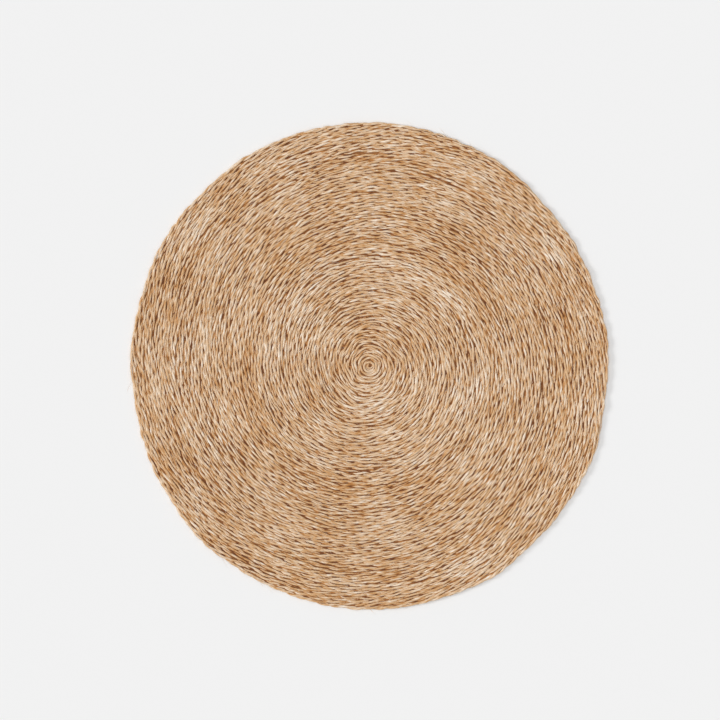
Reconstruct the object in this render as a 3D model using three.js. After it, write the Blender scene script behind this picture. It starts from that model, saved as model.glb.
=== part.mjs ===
// Round abaca placemat.
//
// The real mat is one very long cord of two twisted plies of abaca fibre, wound tightly into a flat
// spiral of about seventy-five turns and stitched turn to turn, with nothing else sewn to it. It is
// therefore a single flat solid here: the cord's thickness, the coil's slightly oval outline with its
// hand-made lumps, and the half-round edge of the outermost turn.
//
// Millimetres, +Z up. The mat lies on the table at z = 0, and the origin is in the middle of its
// underside. Angles are in degrees, counter-clockwise from +X as seen from above.

import * as THREE from 'three';

// Driving dimensions
const MEAN_RADIUS = 190; // a 15 inch mat
const PLY = 1.6; // thickness of one ply of the cord
const THICKNESS = 2 * PLY; // one ply over the other wherever they cross

// Fineness of the mesh
const SIDES = 144; // straight stretches around the mat, 2.5 degrees each
const RIM_STEPS = 4; // facets over each quarter of the rounded edge

// Smooth waves of the outline, each with its number of crests around the mat, the angle of one crest
// and its height over the mean radius.
const SWELLS = [
  { crests: 2, at: 98, height: 2.1 }, // slightly oval: 384 mm the long way and 376 mm across
  { crests: 3, at: -18, height: 0.35 },
];

// Short lumps and dents of the outermost turns. Each reaches about `reach` degrees to both sides.
const LUMPS = [
  { at: 6, reach: 5, height: 1.1 },
  { at: 42, reach: 5, height: -1.1 },
  { at: 58, reach: 7, height: 0.5 },
  { at: 84, reach: 5, height: 0.5 },
  { at: 100, reach: 7, height: -0.4 },
  { at: 133, reach: 5, height: -0.8 },
  { at: 147, reach: 8, height: 0.8 },
  { at: 163, reach: 5, height: -0.9 },
  { at: 176, reach: 5, height: 0.9 },
  { at: 191, reach: 7, height: -0.8 },
  { at: 226, reach: 6, height: 1.0 },
  { at: 246, reach: 9, height: -0.5 },
  { at: 287, reach: 5, height: -0.6 },
  { at: 302, reach: 6, height: 0.9 },
  { at: 320, reach: 8, height: -0.6 },
  { at: 337, reach: 5, height: 1.4 }, // the last full stretch of cord
  { at: 352, reach: 6, height: -1.3 }, // where its end is tapered away and tucked in
];

const { degToRad, euclideanModulo } = THREE.MathUtils;

// How far the outline lies from the centre at an angle.
function rimRadius(angle) {
  let radius = MEAN_RADIUS;
  for (const { crests, at, height } of SWELLS) {
    radius += height * Math.cos(degToRad(crests * (angle - at)));
  }
  for (const { at, reach, height } of LUMPS) {
    const away = euclideanModulo(angle - at + 180, 360) - 180;
    radius += height * Math.exp(-((away / reach) ** 2));
  }
  return radius;
}

// Half of the mat's cross-section, from the middle of the underside, out around the half-round edge
// and back to the middle of the top: x is the distance from the centre and y the height.
function crossSection() {
  const edge = new THREE.Path();
  const half = THICKNESS / 2;
  edge.moveTo(0, 0);
  edge.lineTo(MEAN_RADIUS - half, 0);
  edge.absarc(MEAN_RADIUS - half, half, half, -Math.PI / 2, Math.PI / 2);
  edge.lineTo(0, THICKNESS);
  return edge.getPoints(RIM_STEPS);
}

// The round disc of that cross-section, with every point then moved out or in along its own radius so
// that the edge follows the mat's outline.
function matGeometry() {
  const geometry = new THREE.LatheGeometry(crossSection(), SIDES);
  geometry.rotateX(Math.PI / 2);

  const position = geometry.getAttribute('position');
  for (let i = 0; i < position.count; i += 1) {
    const x = position.getX(i);
    const y = position.getY(i);
    const angle = THREE.MathUtils.radToDeg(Math.atan2(y, x));
    const stretch = rimRadius(angle) / MEAN_RADIUS;
    position.setXY(i, x * stretch, y * stretch);
  }

  // The lumps aren't even all round, so the outline is brought back to the middle.
  geometry.computeBoundingBox();
  const middle = geometry.boundingBox.getCenter(new THREE.Vector3());
  geometry.translate(-middle.x, -middle.y, 0);
  geometry.computeVertexNormals();
  return geometry;
}

const abaca = new THREE.MeshStandardMaterial({ color: 0xc29d78, roughness: 0.85, metalness: 0 });

const mat = new THREE.Mesh(matGeometry(), abaca);
mat.name = 'mat';

const placemat = new THREE.Group();
placemat.add(mat);

export default placemat;
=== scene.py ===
# %% [markdown]
# # A round abaca placemat
#
# The mat is one very long cord, twisted from two plies of abaca fibre and wound into a flat spiral, each
# turn stitched to the one inside it. The frame holds it as one flat solid with the right outline and
# thickness. What is made here is what the eye sees: the cord itself, turn by turn.
#
# The frame is loaded first, because every place and size below is worked out from it.

import bpy
import numpy as np
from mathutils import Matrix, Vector


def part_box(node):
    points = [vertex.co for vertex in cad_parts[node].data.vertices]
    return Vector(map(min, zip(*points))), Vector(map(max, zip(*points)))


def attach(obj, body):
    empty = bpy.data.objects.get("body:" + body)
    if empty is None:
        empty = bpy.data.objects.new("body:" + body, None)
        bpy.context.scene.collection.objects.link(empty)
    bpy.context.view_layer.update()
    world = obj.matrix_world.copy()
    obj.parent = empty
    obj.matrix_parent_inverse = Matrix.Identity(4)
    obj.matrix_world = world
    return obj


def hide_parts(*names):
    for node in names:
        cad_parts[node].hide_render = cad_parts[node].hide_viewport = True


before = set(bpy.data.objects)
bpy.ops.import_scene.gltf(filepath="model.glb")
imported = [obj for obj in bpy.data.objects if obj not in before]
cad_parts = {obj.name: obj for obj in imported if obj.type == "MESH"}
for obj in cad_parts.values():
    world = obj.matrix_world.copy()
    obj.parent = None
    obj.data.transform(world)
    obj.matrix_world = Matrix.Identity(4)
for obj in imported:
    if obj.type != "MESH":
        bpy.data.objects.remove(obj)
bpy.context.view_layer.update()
bpy.ops.object.select_all(action="DESELECT")
low, high = (Vector(corner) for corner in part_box("mat"))
print("the mat's solid spans", [round(side * 1000, 1) for side in high - low], "mm")

# %% [markdown]
# ## Sizes of the cord
#
# The mat is one cord thick. A cord that lay alone would be round, but the turns are stitched so tightly
# that they are closer together than the cord is thick. They press each other narrow and fill each
# other's hollows, which is why the mat looks woven rather than coiled. Everything is in metres.

# %% Sizes of the cord
MM = 0.001
THICKNESS = high.z
HALF = THICKNESS / 2  # height of the middle of the cord
PLY_RADIUS = 1.05 * MM
PLY_OFFSET = 0.68 * MM  # from the middle of the cord to the middle of a ply
TURN_GAP = 2.55 * MM  # from one turn of the coil to the next
CROSSING = 11.8 * MM  # length of cord from one crossing of the plies to the next
TO_EDGE = 1.05 * MM  # from the middle of the outermost turn to the edge of the frame's solid
CORD_END = np.radians(350)  # where around the mat the cord ends
END_TAPER = np.radians(15)  # the stretch over which its end is thinned out
print("the cord is", round(2 * (PLY_OFFSET + PLY_RADIUS) * 1000, 1), "mm thick before it is pressed")

# %% [markdown]
# ## The outline
#
# A mat wound by hand is slightly oval and has small lumps. The frame's solid has that outline, so it is
# read from there: for every direction, how far the solid reaches. A sum of waves around the mat keeps it
# smooth. The first three waves are the general oval, which the whole coil shares. The others are the
# lumps, which only the outer turns follow.

# %% Read the outline from the frame
OVAL_WAVES = 3
ALL_WAVES = 60
DIRECTIONS = 360  # how many directions the outline is read in
SAME_HEIGHT = 0.01 * MM

corners = np.array([corner.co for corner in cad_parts["mat"].data.vertices])
reach = np.hypot(corners[:, 0], corners[:, 1])
widest = np.abs(corners[:, 2] - HALF) < SAME_HEIGHT
direction = np.arctan2(corners[widest, 1], corners[widest, 0])
around = np.linspace(0, 2 * np.pi, DIRECTIONS, endpoint=False)
order = np.argsort(direction)
edge = np.interp(around, direction[order], reach[widest][order], period=2 * np.pi)
waves = np.fft.rfft(edge) / DIRECTIONS
MEAN_RADIUS = waves[0].real


def outline(angle, count):
    """How far the edge lies from the middle, as a sum of that many waves around the mat."""
    total = np.full(np.shape(angle), MEAN_RADIUS)
    for number in range(1, count + 1):
        total = total + 2 * (waves[number] * np.exp(1j * number * angle)).real
    return total


TURNS = round((MEAN_RADIUS - TO_EDGE) / TURN_GAP, 1)
print("mean radius", round(MEAN_RADIUS * 1000, 1), "mm, which takes", TURNS, "turns of cord")

# %% [markdown]
# ## Hand-made unevenness
#
# Nothing in such a mat is regular: the plies swell and thin out, they are twisted a little tighter or
# looser, and the turns drift. Two helpers make that unevenness. `wander` is a smooth random value along
# the cord. `drift` is a smooth random field over the whole mat, so that neighbouring turns move nearly
# together. Both are seeded, so the mat comes out the same every time.

# %% Helpers for the unevenness
DRIFT_WAVES = 11  # how many waves make up a drift


def wander(along, every, seed):
    """A smooth random value from -1 to 1 that changes about once in every so many metres."""
    knots = np.random.default_rng(seed).uniform(-1, 1, int(along[-1] / every) + 3)
    place = along / every
    before = place.astype(int)
    blend = (1 - np.cos(np.pi * (place - before))) / 2
    return knots[before] * (1 - blend) + knots[before + 1] * blend


def drift(angle, turn, bumps, steepness, seed):
    """A smooth random field of about -1 to 1 over the mat, from waves around it and across its turns."""
    dice = np.random.default_rng(seed)
    total = np.zeros(np.shape(angle))
    for _ in range(DRIFT_WAVES):
        along_turn = dice.integers(2, bumps) * angle
        across_turns = dice.uniform(-1, 1) * np.pi * steepness * turn
        total = total + np.cos(along_turn + across_turns + dice.uniform(0, 2 * np.pi))
    return total / np.sqrt(DRIFT_WAVES)


# %% [markdown]
# ## The path of the cord
#
# `turn` counts the turns from the middle outwards and rises steadily along the cord. A point's distance
# from the middle is its share of the way from the first turn to the last, times the outline in its
# direction. Seen from above, the coil runs counter-clockwise as it grows. At its end the cord is
# thinned out and tucked against the turn inside it, so the outline closes without a step. Then the
# turns are set a little out of line, least of all those in the middle and at the edge.

# %% Lay the path of the cord
FIRST_TURN = 0.45  # where the coil starts, in turns from the middle
POINTS = 720  # points of the path in each turn
DRIFT = 0.65 * MM  # how far neighbouring turns lie out of line together
SWAY = 0.35 * MM  # how far the cord lies out of line on its own
SWAY_AT_EDGE = 0.8  # how much of that is left at the edge
CORE = 8  # turns in the middle over which the unevenness grows
RIM = 6  # turns at the edge over which it fades

turn = np.arange(FIRST_TURN, TURNS, 1 / POINTS)
angle = CORD_END - 2 * np.pi * (TURNS - turn)
since_end = np.mod(angle - CORD_END, 2 * np.pi)
left_width = np.clip((2 * np.pi - since_end) / END_TAPER, 0, 1)
last_turn = TURNS - 1 + since_end / (2 * np.pi) - (1 - left_width)
share = turn / last_turn
oval = outline(angle, OVAL_WAVES)
lumps = outline(angle, ALL_WAVES) - oval
thinned = np.where(turn > TURNS - END_TAPER / (2 * np.pi), left_width, 1.0)
distance = (turn - (1 - thinned) / 2) / last_turn * (oval + lumps * share**4 - TO_EDGE)
from_middle = np.clip(turn / CORE, 0, 1)
from_edge = np.clip((TURNS - turn) / RIM, 0, 1)
distance += DRIFT * from_middle * from_edge * drift(angle, turn, bumps=8, steepness=0.35, seed=3)
sway = wander(np.cumsum(distance) * (2 * np.pi / POINTS), every=0.022, seed=4)
distance += SWAY * from_middle * np.maximum(from_edge, SWAY_AT_EDGE) * sway
middle = np.stack([distance * np.cos(angle), distance * np.sin(angle)], axis=1)
along = np.concatenate([[0], np.cumsum(np.hypot(*np.diff(middle, axis=0).T))])
print("the cord is", round(along[-1], 2), "m long")

# %% [markdown]
# The path is then cut into steps. They are 2.5 mm long on the outer turns, and shorter near the middle,
# where the cord bends tightly: no step turns by more than 14 degrees.

# %% Cut the path into steps
STEP = 2.5 * MM
MOST_BEND = np.radians(14)  # the most that the cord may turn in one step
TIGHTEST = 1 * MM  # the smallest distance from the middle that counts for that

step = np.minimum(STEP, np.maximum(distance, TIGHTEST) * MOST_BEND)
counted = np.concatenate([[0], np.cumsum(np.diff(along) / step[1:])])
at = np.interp(np.arange(0, counted[-1], 1.0), counted, along)
at = np.append(at, along[-1])
line = np.stack([np.interp(at, along, middle[:, axis]) for axis in (0, 1)], axis=1)
turn_at = np.interp(at, along, turn)
angle_at = np.interp(at, along, angle)
width_at = np.interp(at, along, thinned)
heading = np.gradient(line, at, axis=0)
heading /= np.linalg.norm(heading, axis=1)[:, None]
outward = np.stack([heading[:, 1], -heading[:, 0]], axis=1)
outermost = turn_at > TURNS - 1
print("steps along the cord:", len(at))

# %% [markdown]
# ## The twist
#
# The plies cross about every 12 mm, but never evenly. While the coil is wound, the swellings of the cord
# tend to settle into the hollows of the turn inside it, which puts them a good third of a crossing
# further on from turn to turn, so that slanting rows show. The twist is therefore followed step by
# step: it runs on at its own pace, which changes slowly and quickly, and is pulled a little towards that
# place.

# %% Follow the twist along the cord
SETTLING = 45  # how strongly the crossings are drawn to the hollows, in radians per metre
HOLLOW = 0.72 * np.pi  # how far on from the turn inside the hollows lie, with 2 pi for a whole crossing

slow = 0.12 * wander(at, every=0.11, seed=5)
quick = 0.38 * wander(at, every=0.018, seed=6)
pace = 2 * np.pi / (CROSSING * (1 + slow + quick))
inside = np.interp(turn_at - 1, turn_at, np.arange(len(at)))
crossings = np.zeros(len(at))
for i in range(1, len(at)):
    before = int(inside[i])
    beside = crossings[before] + (inside[i] - before) * (crossings[before + 1] - crossings[before])
    pull = SETTLING * np.sin(beside + HOLLOW - crossings[i - 1]) if before > 0 else 0
    crossings[i] = crossings[i - 1] + (at[i] - at[i - 1]) * (pace[i] + pull)
print("the plies cross", int(crossings[-1] / (2 * np.pi)), "times")

# %% [markdown]
# ## The two plies
#
# Each ply winds round the cord's middle line like a handrail round a stair: sideways by the sine of the
# twist, up and down by its cosine. The second ply is half a turn behind the first. Both stray a little
# from that line, and swell and thin out as they go.

# %% Lay the middle line of each ply
HEAVE = 0.1 * MM  # how far neighbouring turns rise and sink together
RISE = 0.12 * MM  # how far the cord rises and sinks on its own
STRAY = 0.55 * MM  # how far a ply strays sideways
LIFT = 0.15 * MM  # how far it strays up and down
THINNEST = 0.4  # how much of the cord is left at its very end

height = HALF + HEAVE * drift(angle_at, turn_at, bumps=15, steepness=0.3, seed=11)
height += RISE * wander(at, every=0.05, seed=12)
thinning = np.maximum(width_at, THINNEST)
print("the middle of the cord lies at most", round(height.max() * 1000, 2), "mm up")


def ply_line(number):
    """The middle line of a ply, with three directions at each step: away from the cord, across and along."""
    turned = -crossings / 2 + np.pi * number
    away = np.zeros((len(at), 3))
    away[:, :2] = outward * np.sin(turned)[:, None]
    away[:, 2] = np.cos(turned)
    place = away * (PLY_OFFSET * thinning)[:, None]
    stray = STRAY * wander(at, every=0.0065, seed=40 + number)
    place[:, :2] += line + outward * stray[:, None]
    place[:, 2] += height + LIFT * wander(at, every=0.012, seed=50 + number)
    run = np.gradient(place, at, axis=0)
    run /= np.linalg.norm(run, axis=1)[:, None]
    away -= run * np.sum(away * run, axis=1)[:, None]
    away /= np.linalg.norm(away, axis=1)[:, None]
    return place, away, np.cross(run, away)


# %% [markdown]
# A ply is a ring of eight points at each step of that line. The rings turn with the fibres, which are
# spun against the twist of the cord. So the mesh's long edges run as the fibres do, and each of them can
# rise or sink as a ridge. On the inside, where the plies press on each other, the rings are flat. Then
# the cord is pressed: narrower at its sides by its neighbours, flatter above and below, and nothing goes
# under the table. The last turn has no neighbour outside it, so that side keeps its bumps.

# %% Wind the plies
SIDES = 8  # points in a ring
FIBRE_TWIST = 15 * MM  # length of ply in which its fibres go once round it
SQUEEZE = 0.14  # how much narrower the neighbours press the cord
CREST = 0.62 * HALF  # how far from the mat's middle plane the cord starts to be flattened
FLATNESS = 0.5  # how much is left of what reaches further than that
RIDGE = 0.12  # how far a ridge of fibre rises or sinks, as a share of the ply's radius

spun = np.cumsum(np.diff(at, prepend=0) * (1 + 0.45 * wander(at, every=0.015, seed=8))) / FIBRE_TWIST


def press(rings):
    """The same points where the neighbours and the table leave them."""
    sideways = np.sum((rings[:, :, :2] - line[:, None, :]) * outward[:, None, :], axis=2)
    pushed = SQUEEZE * sideways * np.minimum((sideways / HALF) ** 2, 1)
    pushed[outermost[:, None] & (sideways > 0)] = 0
    rings[:, :, :2] -= pushed[:, :, None] * outward[:, None, :]
    above = rings[:, :, 2] - HALF
    left = np.minimum(np.abs(above), CREST + FLATNESS * np.maximum(np.abs(above) - CREST, 0))
    rings[:, :, 2] = np.maximum(HALF + np.sign(above) * left, 0)
    return rings


def wind_ply(number):
    """Rings of points around one ply, with the direction that each point faces."""
    place, away, across = ply_line(number)
    spin = 2 * np.pi * (np.arange(SIDES)[None, :] / SIDES + spun[:, None])
    outer = np.cos(spin) * np.where(np.cos(spin) < 0, PLY_OFFSET / PLY_RADIUS, 1)
    facing = away[:, None, :] * outer[:, :, None] + across[:, None, :] * np.sin(spin)[:, :, None]
    seeds = 100 + 10 * number + np.arange(SIDES)
    ridges = np.stack([wander(at, every=0.012, seed=seed) for seed in seeds], axis=1)
    long_swell = 0.15 * wander(at, every=0.025, seed=20 + number)
    short_swell = 0.2 * wander(at, every=0.008, seed=30 + number)
    swell = 1 + long_swell + short_swell
    radius = PLY_RADIUS * (swell * thinning)[:, None] * (1 + RIDGE * ridges)
    return press(place[:, None, :] + facing * radius[:, :, None]), facing


plies = [wind_ply(0), wind_ply(1)]
print("plies reach", round(max(rings[:, :, 2].max() for rings, _ in plies) * 1000, 2), "mm up")

# %% [markdown]
# ## Hanks of fibre
#
# The fibre comes in hanks, and one hank lasts for a few turns of the coil. Some are browner or paler than
# the rest. In some, the shade painted deep between the plies is set deeper or shallower than elsewhere.
# Both show on the mat as faint rings. Each row below is such a hank.

# %% Set the lightness and the depth of painted shade of each stretch of cord
LIGHTNESS = 0.615  # of the cord in general, on a scale from 0 to 1
HANKS = [  # how far from the middle a hank lies, how far it reaches, how pale it is and how much deeper its painted shade is
    dict(out=56 * MM, reach=6 * MM, paler=0.01, deeper_shade=-0.2),
    dict(out=74 * MM, reach=3 * MM, paler=0.03, deeper_shade=-0.2),
    dict(out=84 * MM, reach=4 * MM, paler=0.05, deeper_shade=-0.4),
    dict(out=97 * MM, reach=6 * MM, paler=-0.05, deeper_shade=0.4),
    dict(out=118 * MM, reach=4 * MM, paler=-0.01, deeper_shade=0.1),
    dict(out=140 * MM, reach=14 * MM, paler=0, deeper_shade=-0.2),
    dict(out=161 * MM, reach=4 * MM, paler=-0.06, deeper_shade=0.2),
    dict(out=171 * MM, reach=3 * MM, paler=0.02, deeper_shade=-0.4),
    dict(out=182 * MM, reach=6 * MM, paler=-0.04, deeper_shade=0.1),
]

lightness_at = np.full(len(at), LIGHTNESS)
shade_deepening_at = np.zeros(len(at))
for hank in HANKS:
    nearness = np.exp(-(((turn_at * TURN_GAP - hank["out"]) / hank["reach"]) ** 2))
    lightness_at += hank["paler"] * nearness
    # a hank's deeper painted shade, which darkens the colour more between its plies
    shade_deepening_at += hank["deeper_shade"] * nearness
print("lightness from", round(lightness_at.min(), 2), "to", round(lightness_at.max(), 2))

# %% [markdown]
# ## From rings to meshes
#
# Neighbouring rings are joined by quads. Two maps are laid on them. `fibres` runs with the fibres, so
# that streaks follow the ply. `OFBake` lays the plies out in neat strips, side by side, for a texture.

# %% Helpers for the faces and maps of a ply
SECOND_PLY = 50  # metres between the two plies on the map, so that each has streaks of its own
MARGIN = 0.03  # free space at both sides of a strip, as a share of its width


def faces_of(rings):
    """Quads between the rings of one ply, with the ring and side that each starts from."""
    ring, side = (grid.ravel() for grid in np.mgrid[0 : rings - 1, 0:SIDES])
    beside = (side + 1) % SIDES
    quads = np.stack(
        [ring * SIDES + side, ring * SIDES + beside, (ring + 1) * SIDES + beside, (ring + 1) * SIDES + side],
        axis=1,
    )
    return quads, ring, side


def fibre_map(ring, side, first, number):
    """Where each corner of each quad lies around its ply and along it, in metres."""
    rings = np.stack([ring, ring, ring + 1, ring + 1], axis=1)
    sides = np.stack([side, side + 1, side + 1, side], axis=1)
    return np.stack([sides / SIDES, at[first + rings] + SECOND_PLY * number], axis=-1)


def strip_map(ring, side, rings, number):
    """The same corners on strips side by side, each about as long as all of them are wide."""
    strips = int(np.ceil(np.sqrt(2 * rings * STEP / (2 * np.pi * PLY_RADIUS))))
    per_strip = int(np.ceil(2 * rings / strips))
    place = ring + number * rings
    strip = place // per_strip
    start = place - strip * per_strip
    ends = np.stack([start, start, start + 1, start + 1], axis=1) / per_strip
    sides = np.stack([side, side + 1, side + 1, side], axis=1) / SIDES
    return np.stack([ends, (strip[:, None] + MARGIN + (1 - 2 * MARGIN) * sides) / strips], axis=-1)


def lay_map(mesh, name, places):
    """A UV map that puts the corners of a mesh's faces at those places, and any others at 0, 0."""
    flat = np.zeros((len(mesh.loops), 2), np.float32)
    flat[: places.size // 2] = places.reshape(-1, 2)
    mesh.uv_layers.new(name=name).uv.foreach_set("vector", flat.ravel())


# %% [markdown]
# All the quads of the cord make about 570,000 triangles, which is too many for one object. The coil is
# therefore cut into four bands of equal length, from the middle outwards. Each point gets a value of
# painted shade, from 0 at the top and bottom of the mat to 1 half way between, which darkens the colour
# deep between the turns, where the cord lies in shade. It grows faster in the hanks whose painted shade
# is set deeper. The outer side of the last turn lies open, so its value is low.

# %% Make the bands of cord
BANDS = 4
OPEN_PAINTED_SHADE = 0.2  # the painted shade of the points that look outwards on the last turn
LOOKS_OUT = 0.2  # how far outwards such a point faces at least, as a share of its direction


def painted_shade_of(ply, facing):
    """How much shade is painted on each point, by how deep in the mat it lies, from 0 to 1, with a low value
    where it looks outwards.
    """
    buried = np.clip(1 - np.abs(ply[:, :, 2] - HALF) / HALF, 0, 1) ** (1 - shade_deepening_at[:, None])
    looks_out = np.sum(facing[:, :, :2] * outward[:, None, :], axis=2) > LOOKS_OUT
    return np.where(outermost[:, None] & looks_out, OPEN_PAINTED_SHADE, buried)


def make_object(mesh):
    """An object that shows a mesh, in the scene."""
    made = bpy.data.objects.new(mesh.name, mesh)
    bpy.context.collection.objects.link(made)
    return made


def make_band(name, first, last):
    """One stretch of the cord, both plies, as one mesh."""
    rings = last - first
    points, quads, caps, painted_shade, lightness, fibres, strips = [], [], [], [], [], [], []
    for number, (ply, facing) in enumerate(plies):
        start = number * rings * SIDES
        points.append(ply[first:last].reshape(-1, 3))
        painted_shade.append(painted_shade_of(ply, facing)[first:last].ravel())
        lightness.append(lightness_at[first:last].repeat(SIDES))
        found, ring, side = faces_of(rings)
        quads.append(found + start)
        caps.append(list(range(start + SIDES - 1, start - 1, -1)))
        caps.append(list(range(start + (rings - 1) * SIDES, start + rings * SIDES)))
        fibres.append(fibre_map(ring, side, first, number))
        strips.append(strip_map(ring, side, rings, number))
    mesh = bpy.data.meshes.new(name)
    quads = np.concatenate(quads)
    mesh.from_pydata(np.concatenate(points), [], [*quads.tolist(), *caps])
    # painted shade, stored on the points so that the material darkens the colour deep between the turns
    mesh.attributes.new("painted_shade", "FLOAT", "POINT").data.foreach_set("value", np.concatenate(painted_shade))
    mesh.attributes.new("lightness", "FLOAT", "POINT").data.foreach_set("value", np.concatenate(lightness))
    lay_map(mesh, "OFBake", np.concatenate(strips))
    lay_map(mesh, "fibres", np.concatenate(fibres))
    mesh.polygons.foreach_set("use_smooth", np.arange(len(mesh.polygons)) < len(quads))
    mesh.update()
    return make_object(mesh)


cuts = [int(round(len(at) * number / BANDS)) for number in range(BANDS + 1)]
bands = [
    make_band(f"cord_band_{number + 1}", cuts[number], min(cuts[number + 1] + 1, len(at)))
    for number in range(BANDS)
]
for band in bands:
    print(band.name, "has", 2 * len(band.data.polygons), "triangles")

# %% [markdown]
# ## Between the turns
#
# Stitches run through the mat from turn to turn, and the fibres beside them are pressed into the gaps,
# so a real mat can't be seen through. One thin disc half way up closes those gaps. It is made of rings,
# each the same share of the way out to the middle of the outermost turn, and a Solidify modifier makes
# it 0.5 mm thick. Its `fibres` map runs round the mat, so that its streaks follow the turns.

# %% Close the gaps between the turns
RINGS, SECTORS = 20, 144
STREAKS_OUT, STREAKS_ROUND = 150, 0.8  # how the web's streaks are scaled, to a metre and to a turn
WEB_THICKNESS = 0.5 * MM


def make_web():
    """The disc's single layer, as rings of quads around a fan of triangles."""
    part_way, sector = np.meshgrid(np.arange(1, RINGS + 1) / RINGS, np.arange(SECTORS), indexing="ij")
    spoke = 2 * np.pi * sector / SECTORS
    far = part_way * (outline(spoke, ALL_WAVES) - TO_EDGE)
    points = np.stack([far * np.cos(spoke), far * np.sin(spoke), np.full(far.shape, HALF)], axis=-1)
    start = 1 + np.arange(RINGS - 1).repeat(SECTORS) * SECTORS
    sector = np.tile(np.arange(SECTORS), RINGS - 1)
    beside = (sector + 1) % SECTORS
    quads = start[:, None] + np.stack([sector, sector + SECTORS, beside + SECTORS, beside], axis=1)
    fan = [[0, 1 + sector, 1 + (sector + 1) % SECTORS] for sector in range(SECTORS)]
    mesh = bpy.data.meshes.new("stitched_web")
    mesh.from_pydata([(0, 0, HALF), *points.reshape(-1, 3)], [], [*quads.tolist(), *fan])
    out_at = np.concatenate([[0], far.ravel()])[np.concatenate([quads.ravel(), np.ravel(fan)])]
    quad_at = sector[:, None] + [0, 0, 1, 1]
    fan_at = np.arange(SECTORS)[:, None] + [0, 0, 1]
    round_at = np.concatenate([quad_at.ravel(), fan_at.ravel()]) / SECTORS
    lay_map(mesh, "fibres", np.stack([out_at * STREAKS_OUT, round_at * STREAKS_ROUND], axis=1))
    return make_object(mesh)


web = make_web()
bpy.context.view_layer.objects.active = web
solidify = web.modifiers.new("thickness", "SOLIDIFY")
solidify.thickness = WEB_THICKNESS
solidify.offset = 0
bpy.ops.object.modifier_apply(modifier=solidify.name)
print("the web has", len(web.data.polygons), "faces")

# %% [markdown]
# ## Loose fibres
#
# Abaca never lies quite flat. Ends of fibre spring out of the twist and lie over the turns, mostly along
# them, and a few curl. Each is a thin three-sided tube in a low arch that starts and ends in the cord.
# Thousands of them are joined into one mesh. First come their paths.

# %% Lay the paths of the loose fibres
FIBRES = 3000
BENDS = 8  # points along a fibre
LENGTHS = (3, 14)  # the shortest and the longest, in millimetres
BARE_ENDS = 40  # steps at each end of the cord that have none
SLANT = 0.36  # how far they mostly lean away from the cord, in radians
CURLED = 0.04  # share of the fibres that curl
ON_TOP = 0.85  # share of the fibres that lie on the upper face
START_DEPTH = 0.5 * MM  # how far under the top of the mat these start and end
CLIMB = 0.25 * MM  # the least that they climb
SPRING = 0.8 * MM  # how much higher the few that spring up can rise
UNDERSIDE = 0.2 * MM  # height at which those of the lower face start and end
SAG = 0.1 * MM  # how far these come down


def fibre_paths(count, seed):
    """Points along thin arched fibres that start and end just inside the surface."""
    dice = np.random.default_rng(seed)
    start = dice.integers(BARE_ENDS, len(at) - BARE_ENDS, count)
    length = dice.uniform(*LENGTHS, count) * MM
    slant = dice.normal(0, SLANT, count)
    bend = np.where(dice.random(count) < CURLED, dice.uniform(-4, 4, count), dice.normal(0, 0.6, count))
    rise = dice.uniform(0.1, 0.3, count) * MM + SPRING * dice.random(count) ** 6
    on_top = dice.random(count) < ON_TOP
    way = np.linspace(0, 1, BENDS)
    course = np.arctan2(heading[start, 1], heading[start, 0]) + slant
    course = course[:, None] + bend[:, None] * (way[None, :] - 0.5)
    stride = length[:, None] / (BENDS - 1)
    paths = np.zeros((count, BENDS, 3))
    paths[:, 1:, 0] = np.cumsum(np.cos(course[:, 1:]) * stride, axis=1)
    paths[:, 1:, 1] = np.cumsum(np.sin(course[:, 1:]) * stride, axis=1)
    paths[:, :, :2] += line[start][:, None, :]
    surface = np.where(on_top, THICKNESS - START_DEPTH, UNDERSIDE)
    lift = np.where(on_top, rise + CLIMB, -SAG)
    paths[:, :, 2] = surface[:, None] + np.sin(np.pi * way) ** 0.8 * lift[:, None]
    return paths


loose_paths = fibre_paths(FIBRES, seed=41)
print("loose fibres rise to", round(loose_paths[:, :, 2].max() * 1000, 2), "mm")

# %% [markdown]
# Then come the tubes. Three sides are enough, because no fibre is much wider than a fifth of a millimetre.
# They thin out towards both ends. The `fibres` map gives each a tone of its own, and `OFBake` gives each
# its own patch of a texture.

# %% Make the loose fibres
WIDTHS = (0.06, 0.22)  # the thinnest and the thickest, in millimetres
THIN_END = 0.15  # how much of its width a fibre keeps at its ends
PATCH_MARGIN = 0.05  # free space around a fibre's patch of the texture, as a share of the patch
TONE_STEPS = (0.37, 0.11)  # from one fibre to the next on the map, so that each has a tone of its own


def fibre_rings(paths, widths):
    """Three points around each point of the paths, closer together towards both ends."""
    run = np.gradient(paths, axis=1)
    run /= np.linalg.norm(run, axis=2)[:, :, None]
    beside = np.cross(run, (0, 0, 1))
    beside /= np.linalg.norm(beside, axis=2)[:, :, None]
    up = np.cross(beside, run)
    taper = np.clip(np.minimum(np.arange(BENDS), np.arange(BENDS)[::-1]) / 2, THIN_END, 1)
    radius = (widths[:, None] / 2 * taper)[:, :, None, None]
    spin = (2 * np.pi * np.arange(3) / 3 + np.pi / 2)[:, None]
    return paths[:, :, None] + radius * (beside[:, :, None] * np.cos(spin) + up[:, :, None] * np.sin(spin))


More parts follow.
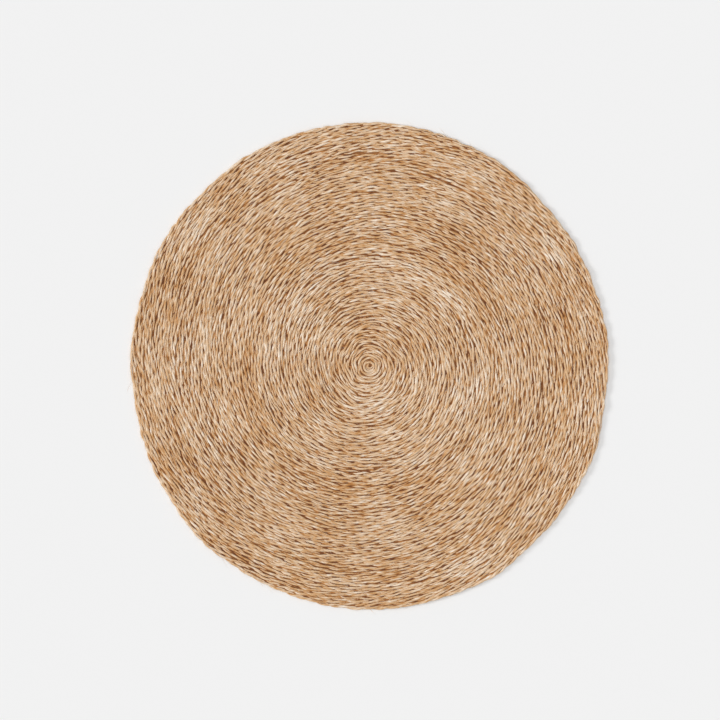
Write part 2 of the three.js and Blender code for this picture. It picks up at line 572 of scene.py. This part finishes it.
def join_fibres(paths, widths):
    """One mesh of tubes along the paths, with both maps."""
    count = len(paths)
    fibre, ring, side = (grid.ravel() for grid in np.mgrid[0:count, 0 : BENDS - 1, 0:3])
    first = (fibre * BENDS + ring) * 3
    following = (side + 1) % 3
    quads = np.stack([first + side, first + 3 + side, first + 3 + following, first + following], axis=1)
    ends = np.arange(count) * BENDS * 3
    caps = [[end, end + 1, end + 2] for end in ends]
    caps += [[end + 2, end + 1, end] for end in ends + (BENDS - 1) * 3]
    mesh = bpy.data.meshes.new("loose_fibres")
    mesh.from_pydata(fibre_rings(paths, widths).reshape(-1, 3), [], [*quads.tolist(), *caps])
    mesh.shade_smooth()
    patches = int(np.ceil(np.sqrt(count)))
    along_at = (ring[:, None] + [0, 1, 1, 0]) / (BENDS - 1)
    around_at = (side[:, None] + [0, 0, 1, 1]) / 3
    corner = np.stack([fibre % patches, fibre // patches], axis=-1)[:, None] + PATCH_MARGIN
    places = corner + (1 - 2 * PATCH_MARGIN) * np.stack([along_at, around_at], axis=-1)
    lay_map(mesh, "OFBake", places / patches)
    of_corner = np.concatenate([quads.ravel(), np.ravel(caps)])
    fibre_at, bend_at = of_corner // (BENDS * 3), of_corner // 3 % BENDS
    across, along_map = (fibre_at * step_on for step_on in TONE_STEPS)
    lay_map(mesh, "fibres", np.stack([across, along_map + bend_at * MM], axis=1))
    return make_object(mesh)


loose_widths = np.random.default_rng(42).uniform(*WIDTHS, FIBRES) * MM
loose = join_fibres(loose_paths, loose_widths)
print("loose fibres:", FIBRES, "in", len(loose.data.polygons), "faces")

# %% [markdown]
# ## What the fibre looks like
#
# Undyed abaca runs from pale cream to orange-brown, in streaks along the ply and from one stretch of
# cord to the next. A node group mixes those tones, so that the cord, the web and the loose fibres can
# share it. First come three helpers for making nodes.

# %% Helpers for nodes
def add_node(tree, kind, **settings):
    """A new node with some of its properties set."""
    node = tree.nodes.new(kind)
    for name, value in settings.items():
        setattr(node, name, value)
    return node


def calculate(tree, operation, first, second):
    """The output of a Math node between two values, which are sockets or numbers."""
    node = add_node(tree, "ShaderNodeMath", operation=operation)
    for socket, value in zip(node.inputs, (first, second)):
        if isinstance(value, bpy.types.NodeSocket):
            tree.links.new(value, socket)
        else:
            socket.default_value = value
    return node.outputs[0]


def noise(tree, vector, scale, detail, roughness=0.5):
    """Noise on a vector that is first stretched by `scale` along each axis."""
    stretch = add_node(tree, "ShaderNodeMapping", vector_type="POINT")
    stretch.inputs["Scale"].default_value = scale
    tree.links.new(vector, stretch.inputs["Vector"])
    node = add_node(tree, "ShaderNodeTexNoise")
    node.inputs["Scale"].default_value = 1
    node.inputs["Detail"].default_value = detail
    node.inputs["Roughness"].default_value = roughness
    tree.links.new(stretch.outputs[0], node.inputs["Vector"])
    return node.outputs["Fac"]


# %% [markdown]
# The group reads the `fibres` map, where across is turns around the ply and along is metres of ply. Four
# noises of different length make single streaks, bundles of fibre, whole stretches of cord and patches
# of the mat paler or darker. They are added up by their weights, painted shade takes some away where a
# point lies deep in the mat, and a colour ramp turns the sum into a tone. The streaks and bundles also
# give a relief, and a pale streak is a little glossier.

# %% Build the fibre tones as a node group
TONES = [
    (0.00, (0.168, 0.050, 0.009, 1)),
    (0.30, (0.515, 0.223, 0.058, 1)),
    (0.52, (0.672, 0.418, 0.209, 1)),
    (0.74, (0.799, 0.610, 0.434, 1)),
    (1.00, (0.973, 0.880, 0.761, 1)),
]
INPUTS = [
    ("Fibres", "NodeSocketVector", (0, 0, 0)),
    ("Place", "NodeSocketVector", (0, 0, 0)),
    ("Painted Shade", "NodeSocketFloat", 0),
    ("Lightness", "NodeSocketFloat", LIGHTNESS),
]
OUTPUTS = [("Color", "NodeSocketColor"), ("Relief", "NodeSocketFloat"), ("Roughness", "NodeSocketFloat")]
SHADE = 0.62  # how much the painted shade darkens the deepest points
SHADE_POWER = 6.5  # how suddenly the painted shade sets in
DULL = 0.78  # roughness of a dark streak
GLOSS = 0.25  # how much smoother the palest streak is

tones = bpy.data.node_groups.new("fibre_tones", "ShaderNodeTree")
for socket, kind, value in INPUTS:
    tones.interface.new_socket(socket, in_out="INPUT", socket_type=kind).default_value = value
for socket, kind in OUTPUTS:
    tones.interface.new_socket(socket, in_out="OUTPUT", socket_type=kind)
given = tones.nodes.new("NodeGroupInput").outputs
shown = tones.nodes.new("NodeGroupOutput").inputs

streaks = noise(tones, given["Fibres"], scale=(12, 210, 1), detail=3, roughness=0.62)
bundles = noise(tones, given["Fibres"], scale=(4, 120, 1), detail=2)
stretches = noise(tones, given["Fibres"], scale=(0.6, 100, 1), detail=2)
patches = noise(tones, given["Place"], scale=(16, 16, 16), detail=2)
tone = given["Lightness"]
for layer, weight in [(streaks, 1.25), (bundles, 0.75), (stretches, 0.85), (patches, 0.4)]:
    swing = calculate(tones, "SUBTRACT", layer, 0.5)
    tone = calculate(tones, "ADD", tone, calculate(tones, "MULTIPLY", swing, weight))
# painted shade: the tone is darkened where a point lies deep in the mat
depth = calculate(tones, "POWER", given["Painted Shade"], SHADE_POWER)
tone = calculate(tones, "SUBTRACT", tone, calculate(tones, "MULTIPLY", depth, SHADE))

ramp = tones.nodes.new("ShaderNodeValToRGB")
ramp.color_ramp.elements.remove(ramp.color_ramp.elements[1])
ramp.color_ramp.elements[0].position, ramp.color_ramp.elements[0].color = TONES[0]
for position, color in TONES[1:]:
    ramp.color_ramp.elements.new(position).color = color
tones.links.new(tone, ramp.inputs["Fac"])
tones.links.new(ramp.outputs["Color"], shown["Color"])
tones.links.new(calculate(tones, "ADD", streaks, bundles), shown["Relief"])
smoother = calculate(tones, "MULTIPLY", streaks, GLOSS)
tones.links.new(calculate(tones, "SUBTRACT", DULL, smoother), shown["Roughness"])
print("the fibre tones group has", len(tones.nodes), "nodes")

# %% [markdown]
# ## The materials
#
# The group's colour and roughness go into a Principled BSDF, and its relief into a Bump node, so that
# light catches single fibres. Dry plant fibre is matt with a faint silky gloss. The cord reads its
# painted shade and its lightness from the attributes on its points. The web lies deep in the mat all
# over, so its painted shade is one high number, which makes it dark brown. The loose fibres are single and
# thin, and so a little paler.

# %% Make the materials
def fibre_material(name, relief):
    """Undyed abaca, with the group's tones on the `fibres` map and a relief of that height."""
    material = bpy.data.materials.new(name)
    material.use_nodes = True
    tree = material.node_tree
    shader = tree.nodes["Principled BSDF"]
    shader.inputs["Specular IOR Level"].default_value = 0.35
    group = add_node(tree, "ShaderNodeGroup", node_tree=tones)
    fibres = add_node(tree, "ShaderNodeUVMap", uv_map="fibres")
    place = add_node(tree, "ShaderNodeTexCoord")
    bump = add_node(tree, "ShaderNodeBump")
    bump.inputs["Strength"].default_value = 0.5
    bump.inputs["Distance"].default_value = relief
    tree.links.new(fibres.outputs["UV"], group.inputs["Fibres"])
    tree.links.new(place.outputs["Object"], group.inputs["Place"])
    tree.links.new(group.outputs["Color"], shader.inputs["Base Color"])
    tree.links.new(group.outputs["Roughness"], shader.inputs["Roughness"])
    tree.links.new(group.outputs["Relief"], bump.inputs["Height"])
    tree.links.new(bump.outputs["Normal"], shader.inputs["Normal"])
    return material, group


cord_finish, group = fibre_material("twisted_fibre", relief=0.12 * MM)
tree = cord_finish.node_tree
# the painted shade and the lightness come from the attributes on the cord's points
for attribute, socket in [("painted_shade", "Painted Shade"), ("lightness", "Lightness")]:
    stored = add_node(tree, "ShaderNodeAttribute", attribute_name=attribute)
    tree.links.new(stored.outputs["Fac"], group.inputs[socket])
for band in bands:
    band.data.materials.append(cord_finish)

web_finish, group = fibre_material("pressed_fibre", relief=0.2 * MM)
# shade painted on the web all over: it lies deep between the turns, so it is darkened nearly as much as the
# deepest points
group.inputs["Painted Shade"].default_value = 0.985
web.data.materials.append(web_finish)

loose_finish, group = fibre_material("loose_fibre", relief=0.02 * MM)
group.inputs["Lightness"].default_value = 0.85
loose.data.materials.append(loose_finish)
print("materials:", cord_finish.name, web_finish.name, loose_finish.name)

# %% [markdown]
# ## How the pieces belong together
#
# Everything rides on the frame's one body, and the frame's own solid is hidden. The web is the single
# thin layer of the mat's own size, and the cord lies on it. Its flat area is what the outline
# encloses.

for piece in [web, *bands, loose]:
    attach(piece, "root")
    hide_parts("mat")

# %% [markdown]
# ## The table
#
# The mat lies on a pale matt surface. It is only there for the picture and is no part of the object.

# %% Lay the table
TABLE_SIZE = 30
TABLE_GAP = 0.05 * MM  # the table lies just under the mat, so that the two share no plane

bpy.ops.mesh.primitive_plane_add(size=TABLE_SIZE, location=(0, 0, -TABLE_GAP))
table = bpy.context.object
table.name = "table"
table_finish = bpy.data.materials.new("pale_table")
table_finish.use_nodes = True
shader = table_finish.node_tree.nodes["Principled BSDF"]
shader.inputs["Base Color"].default_value = (0.885, 0.885, 0.885, 1)
shader.inputs["Roughness"].default_value = 1
shader.inputs["Specular IOR Level"].default_value = 0
table.data.materials.append(table_finish)
print("the table is", TABLE_SIZE, "m wide")

# %% [markdown]
# ## The light
#
# The light is even. Not quite half of it comes from all sides, and a very broad lamp straight above gives
# about a third. A smaller lamp low on the left draws the plies and lays a thin shadow on the right. The
# shares add up to one, so a colour renders about as it is written.

# %% Light the mat
SKY = 0.45  # share of the light that comes from all sides
LAMPS = [  # share of the light, where the lamp stands and how wide it looks, in degrees
    dict(name="overhead_lamp", share=0.35, azimuth=0, elevation=90, width=80),
    dict(name="side_lamp", share=0.20, azimuth=176, elevation=25, width=16),
]

world = bpy.data.worlds.new("studio")
bpy.context.scene.world = world
world.use_nodes = True
background = world.node_tree.nodes["Background"]
background.inputs["Color"].default_value = (1, 1, 1, 1)
background.inputs["Strength"].default_value = SKY
for row in LAMPS:
    bpy.ops.object.light_add(type="SUN", location=(0, 0, 1))
    lamp = bpy.context.object
    lamp.name = row["name"]
    azimuth, elevation = np.radians(row["azimuth"]), np.radians(row["elevation"])
    level = np.cos(elevation)
    towards = Vector((level * np.cos(azimuth), level * np.sin(azimuth), np.sin(elevation)))
    lamp.rotation_euler = towards.to_track_quat("Z", "Y").to_euler()
    lamp.data.energy = row["share"] * np.pi / np.sin(elevation)
    lamp.data.angle = np.radians(row["width"])
print("lamps:", [row["name"] for row in LAMPS])

# %% [markdown]
# ## The camera
#
# The camera looks straight down, with the mat a little to the right of and below the middle of the
# picture. How high it stands follows from its lens and from how much of the table it should span.

# %% Set the camera
VIEW_WIDTH = 568 * MM  # how much of the table the picture spans
LENS = 85
SENSOR = 36
OVER = (-7.5 * MM, 4.7 * MM)  # the place on the table that the camera stands over

camera_data = bpy.data.cameras.new("camera")
camera_data.lens = LENS
camera_data.sensor_width = SENSOR
camera = bpy.data.objects.new("camera", camera_data)
bpy.context.collection.objects.link(camera)
camera.location = (*OVER, THICKNESS + VIEW_WIDTH * LENS / SENSOR)
bpy.context.scene.camera = camera
bpy.context.scene.view_settings.view_transform = "Standard"
print("the camera is", round(camera.location.z, 2), "m up")
